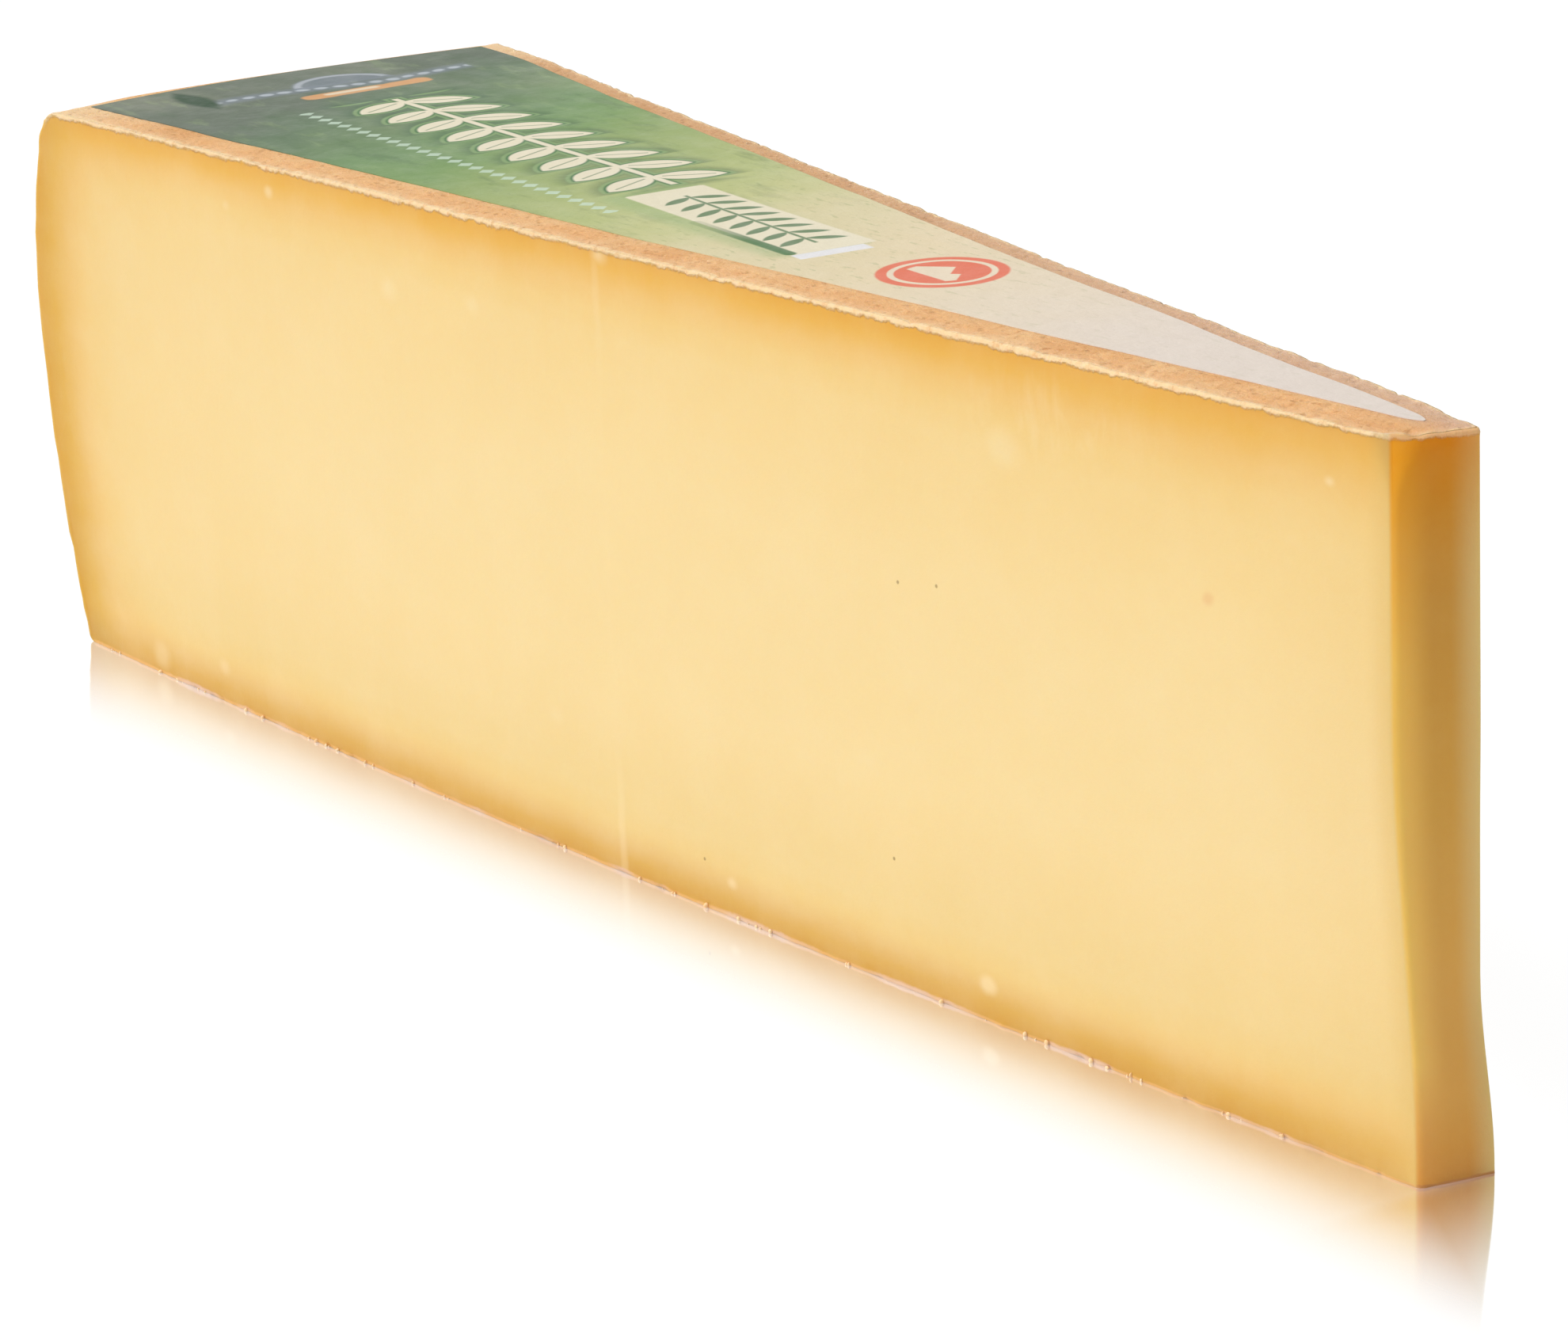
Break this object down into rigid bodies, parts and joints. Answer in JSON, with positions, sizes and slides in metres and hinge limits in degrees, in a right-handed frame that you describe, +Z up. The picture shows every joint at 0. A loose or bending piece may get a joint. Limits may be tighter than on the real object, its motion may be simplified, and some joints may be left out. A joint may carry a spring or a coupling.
{
  "type": "cheese wedge",
  "caption": "Long thin wedge of hard pressed cheese cut from a wheel, blunt at the nose, with a tapering paper label on its upper rind.",
  "frame": {"origin": "middle of the object's box on the lower rind, at the level of the surface it stands on", "axes": "+X towards the blunt nose, so -X is the wheel's rim; the near cut face looks to -Y and the far cut face to +Y; +Z up through the upper rind and its label"},
  "size_m": [0.3162, 0.084, 0.0903],
  "materials": {
    "cheese": "smooth pale yellow cut paste, golden near the rind; rough orange-tan rind",
    "label": "printed matt paper, dark green at the heel fading to off-white at the tip"
  },
  "bodies": {
    "root": {"cheese": "cheese", "label": "label"}
  },
  "joints": []
}
